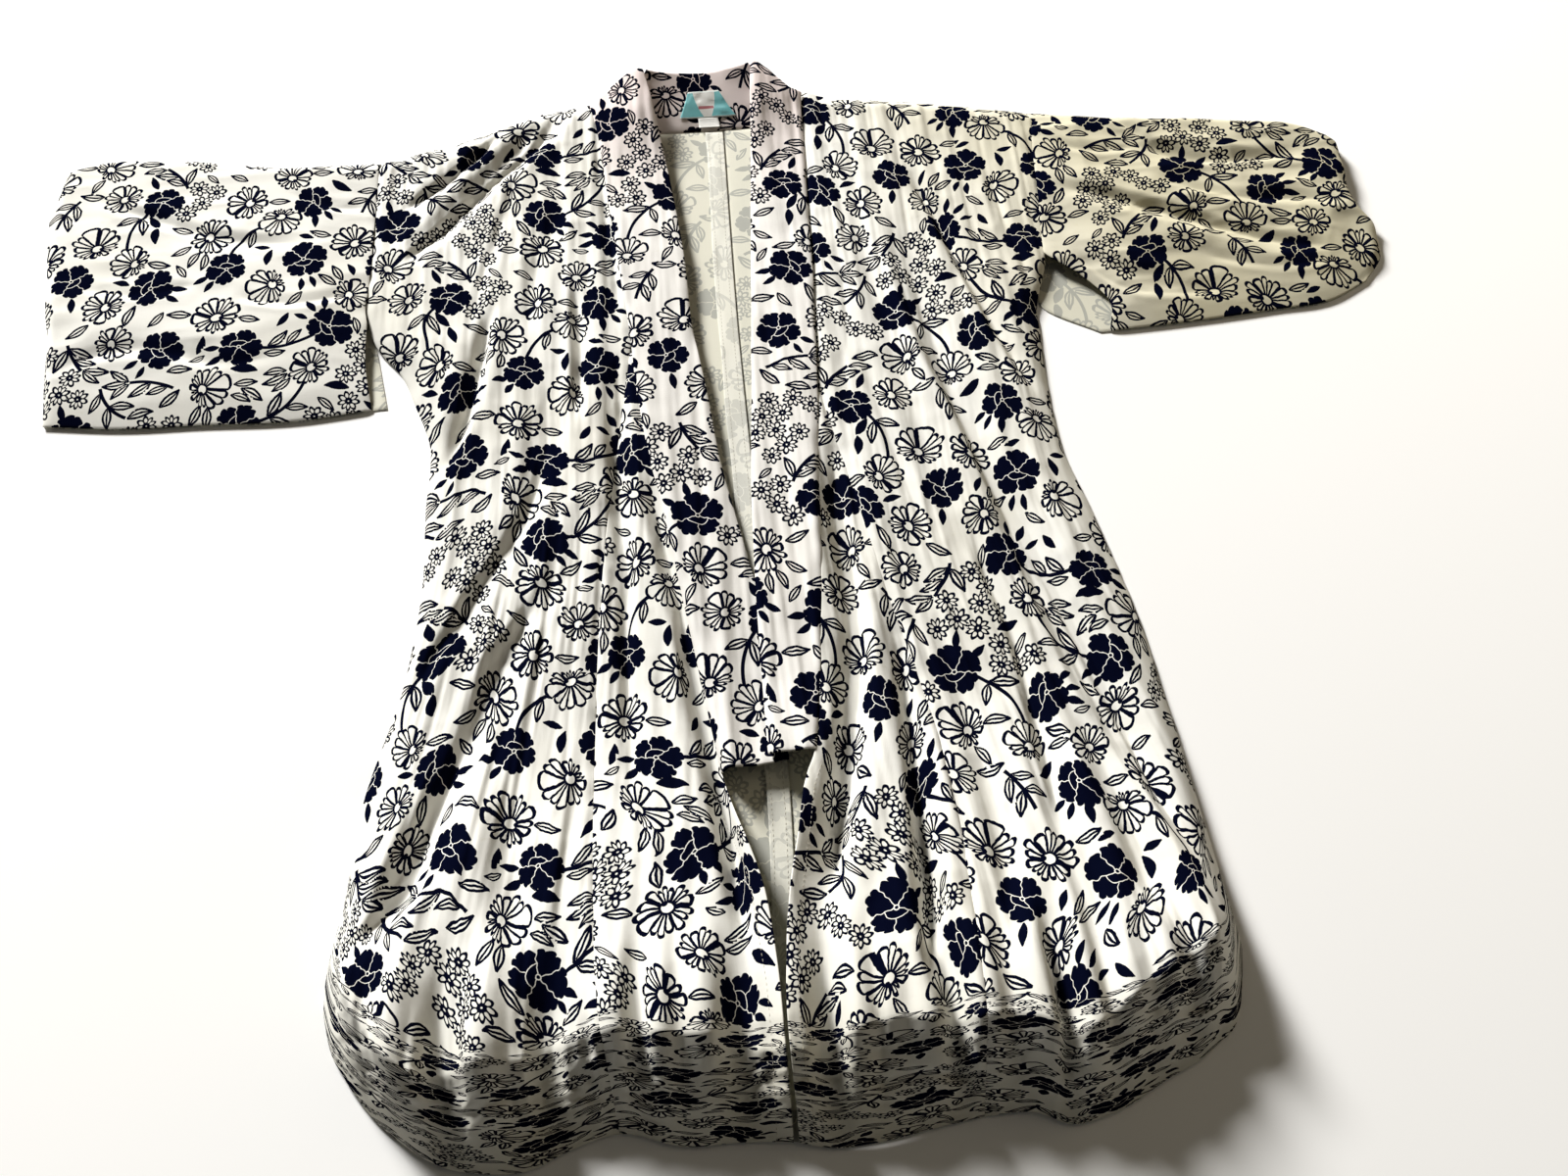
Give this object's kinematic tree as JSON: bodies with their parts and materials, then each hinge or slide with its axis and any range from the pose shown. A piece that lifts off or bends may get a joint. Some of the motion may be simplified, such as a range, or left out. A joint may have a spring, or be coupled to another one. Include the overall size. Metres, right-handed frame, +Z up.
{
  "type": "kimono robe laid flat",
  "caption": "Light cotton kimono robe with a small flower print, laid out face up with its wide sleeves spread and its front edges just parted.",
  "frame": {"origin": "middle of the laid-out robe on the surface it lies on, under the middle of its bounding box", "axes": "+Z up from the surface, +Y from the hem to the neck, +X across the robe towards the crumpled sleeve"},
  "size_m": [1.3215, 1.049, 0.0564],
  "materials": {
    "printed_cotton": "matt plain-weave cotton, ivory with a navy flower print",
    "cotton_reverse": "reverse of the same cotton, the print showing faintly grey",
    "collar_cotton": "the same printed cotton folded double, faintly pink with wear",
    "neck_label": "small woven label, turquoise and off-white, without words"
  },
  "bodies": {
    "root": {"back_left": "cotton_reverse", "back_right": "cotton_reverse", "back_seam_allowance": "cotton_reverse", "front_left": "printed_cotton", "front_right": "printed_cotton", "okumi_left": "printed_cotton", "okumi_right": "printed_cotton", "collar_left": "collar_cotton", "collar_right": "collar_cotton", "collar_neck": "collar_cotton", "neck_label": "neck_label", "neck_tab": "neck_label", "sleeve_left_front": "printed_cotton", "sleeve_left_back": "printed_cotton", "sleeve_right_front": "printed_cotton", "sleeve_right_back": "printed_cotton"}
  },
  "joints": []
}
